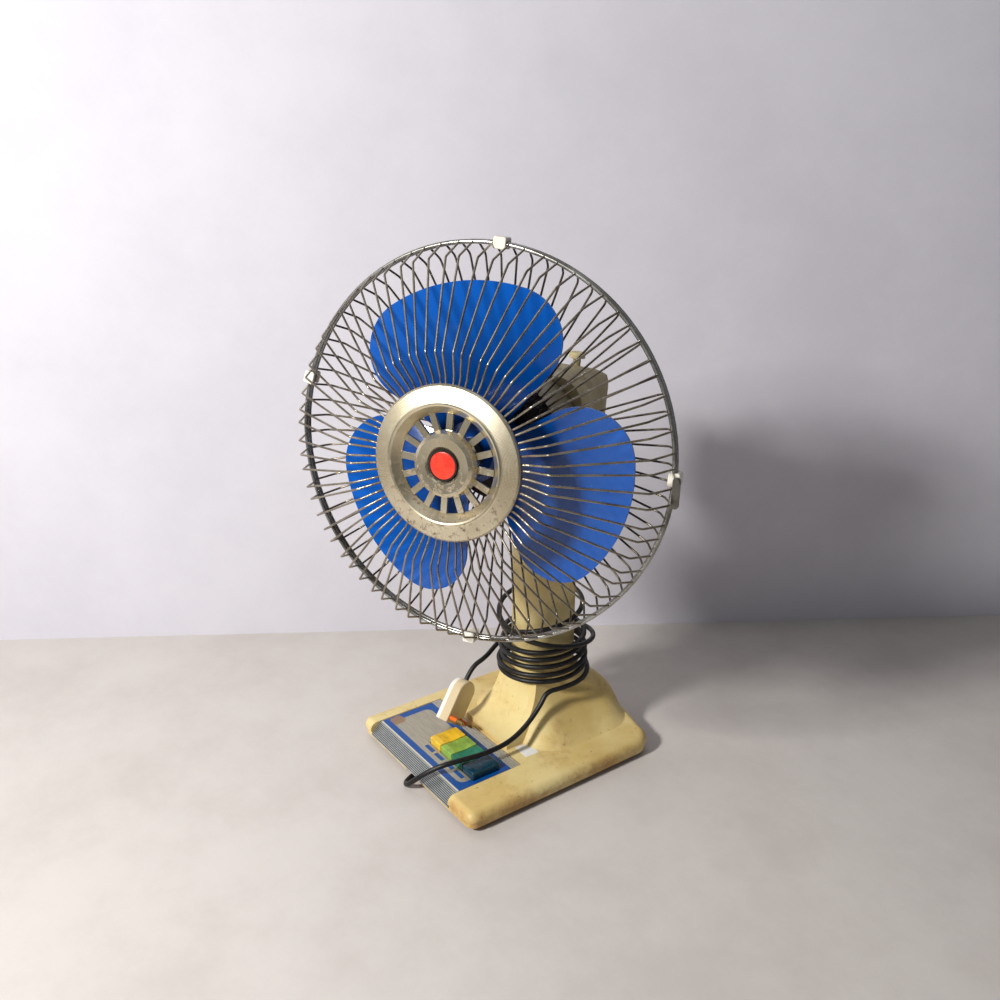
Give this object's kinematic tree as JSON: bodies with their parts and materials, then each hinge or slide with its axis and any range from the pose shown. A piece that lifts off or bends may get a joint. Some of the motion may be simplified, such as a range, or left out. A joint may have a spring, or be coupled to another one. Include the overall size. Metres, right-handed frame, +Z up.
{
  "type": "oscillating desk fan",
  "caption": "Electric desk fan on a wedge base with a tall neck, wire guard, blue blades, push keys and its cord wound round the neck.",
  "frame": {"origin": "on the table under the middle of the whole fan's outline in plan, cord left out", "axes": "+Z up, -Y towards the front edge of the base with the keys, +X to the right seen from the front"},
  "size_m": [0.3642, 0.3497, 0.5726],
  "materials": {
    "ivory": "aged satin moulding",
    "blade_blue": "polished translucent moulding",
    "wire_nickel": "tarnished nickel",
    "badge_metal": "pressed and dirty",
    "panel_silver": "brushed printed sheet",
    "panel_ivory": "ribbed moulding",
    "black_plastic": "satin",
    "white_plastic": "semi gloss",
    "orange_plastic": "semi gloss",
    "red_plastic": "gloss",
    "key_yellow": "semi gloss",
    "key_light_green": "semi gloss",
    "key_green": "semi gloss",
    "key_teal": "semi gloss",
    "rubber": "matte",
    "cord_black": "matte vinyl",
    "steel": "machined",
    "dark_enamel": "dark enamel",
    "cast_metal": "die cast",
    "copper": "enamelled wire",
    "bronze": "sintered",
    "iron": "painted casting",
    "gear_nylon": "natural nylon"
  },
  "bodies": {
    "base": {"base_cover": "ivory", "base_tray": "ivory", "rubber_feet": "rubber", "bottom_screws": "steel", "ballast_weight": "iron", "capacitor": "black_plastic", "terminal_block": "white_plastic", "fascia": "panel_ivory", "panel_label": "panel_silver", "switch_body": "black_plastic", "neck_column": "ivory", "tilt_pin": "steel", "tilt_knob": "black_plastic", "cord_grommet": "black_plastic", "cord_winding": "cord_black", "cord_to_plug": "cord_black", "cord_over_base": "cord_black", "plug_body": "white_plastic", "plug_cover": "white_plastic", "plug_pins": "steel", "plug_sleeves": "orange_plastic"},
    "bracket": {"tilt_bracket": "cast_metal", "bracket_pins": "steel"},
    "head": {"gear_housing": "cast_metal", "gear_lid": "cast_metal", "rear_cover": "ivory", "shell_screws": "steel", "motor_front_cover": "dark_enamel", "guard_nut": "black_plastic", "shaft_bushes": "bronze", "stator_core": "steel", "stator_windings": "copper", "rear_plate": "wire_nickel", "rear_guard_wires": "wire_nickel", "rear_ring": "wire_nickel", "front_ring": "wire_nickel", "front_guard_wires": "wire_nickel", "centre_plate": "wire_nickel", "guard_clips": "white_plastic", "latch_pin": "steel", "badge_ring": "badge_metal", "badge_spider": "badge_metal", "badge_bezel": "black_plastic", "badge_disc": "red_plastic"},
    "rotor": {"motor_shaft": "steel", "rotor_core": "steel", "worm": "steel", "impeller": "blade_blue", "blade_nut": "black_plastic"},
    "pinion": {"worm_wheel": "gear_nylon", "pinion_axle": "steel"},
    "crank": {"crank_gear": "gear_nylon", "crank_disc": "steel"},
    "link": {"link_rod": "steel"},
    "knob": {"swing_knob": "white_plastic"},
    "latch": {"guard_latch": "dark_enamel"},
    "off_key": {"key_off": "key_yellow"},
    "low_key": {"key_low": "key_light_green"},
    "mid_key": {"key_mid": "key_green"},
    "high_key": {"key_high": "key_teal"}
  },
  "joints": [
    {"name": "tilt", "type": "hinge", "parent": "base", "child": "bracket", "pos_m": [-0.07186, 0.08484, 0.3], "axis": [1, 0, 0], "range_deg": [-14, 14]},
    {"name": "swing", "type": "hinge", "parent": "bracket", "child": "head", "pos_m": [-0.07186, 0.09222, 0.37665], "axis": [0, 0.0958, 0.9954], "range_deg": [-61, 2]},
    {"name": "fan_spin", "type": "hinge", "parent": "head", "child": "rotor", "pos_m": [0.01914, -0.06467, 0.39175], "axis": [0.5, -0.862, 0.083], "continuous": true},
    {"name": "pinion_turn", "type": "hinge", "parent": "head", "child": "pinion", "pos_m": [-0.06475, 0.1124, 0.3747], "axis": [0, 0.0958, 0.9954], "continuous": true},
    {"name": "crank_turn", "type": "hinge", "parent": "head", "child": "crank", "pos_m": [-0.0804, 0.12087, 0.37389], "axis": [0, 0.0958, 0.9954], "continuous": true},
    {"name": "link_swing", "type": "hinge", "parent": "bracket", "child": "link", "pos_m": [-0.04896, 0.08495, 0.37734], "axis": [0, 0.0958, 0.9954], "range_deg": [-37.5, 1.5]},
    {"name": "knob_push", "type": "slide", "parent": "head", "child": "knob", "axis": [0, -0.0958, -0.9954], "range_m": [0, 0.005]},
    {"name": "latch_turn", "type": "hinge", "parent": "head", "child": "latch", "pos_m": [0.17461, 0.02543, 0.39095], "axis": [0.5, -0.862, 0.083], "range_deg": [0, 70]},
    {"name": "off_press", "type": "slide", "parent": "base", "child": "off_key", "axis": [0, 0, -1], "range_m": [0, 0.004], "stiffness_N_per_m": 400, "springref_m": -0.001},
    {"name": "low_press", "type": "slide", "parent": "base", "child": "low_key", "axis": [0, 0, -1], "range_m": [0, 0.004], "stiffness_N_per_m": 400, "springref_m": -0.001},
    {"name": "mid_press", "type": "slide", "parent": "base", "child": "mid_key", "axis": [0, 0, -1], "range_m": [0, 0.004], "stiffness_N_per_m": 400, "springref_m": -0.001},
    {"name": "high_press", "type": "slide", "parent": "base", "child": "high_key", "axis": [0, 0, -1], "range_m": [0, 0.004], "stiffness_N_per_m": 400, "springref_m": -0.001}
  ],
  "couplings": [
    {"joint": "pinion_turn", "follows": "fan_spin", "ratio": 0.033333},
    {"joint": "crank_turn", "follows": "fan_spin", "ratio": -0.013333},
    {"joint": "link_swing", "follows": "swing", "ratio": 0.61}
  ]
}
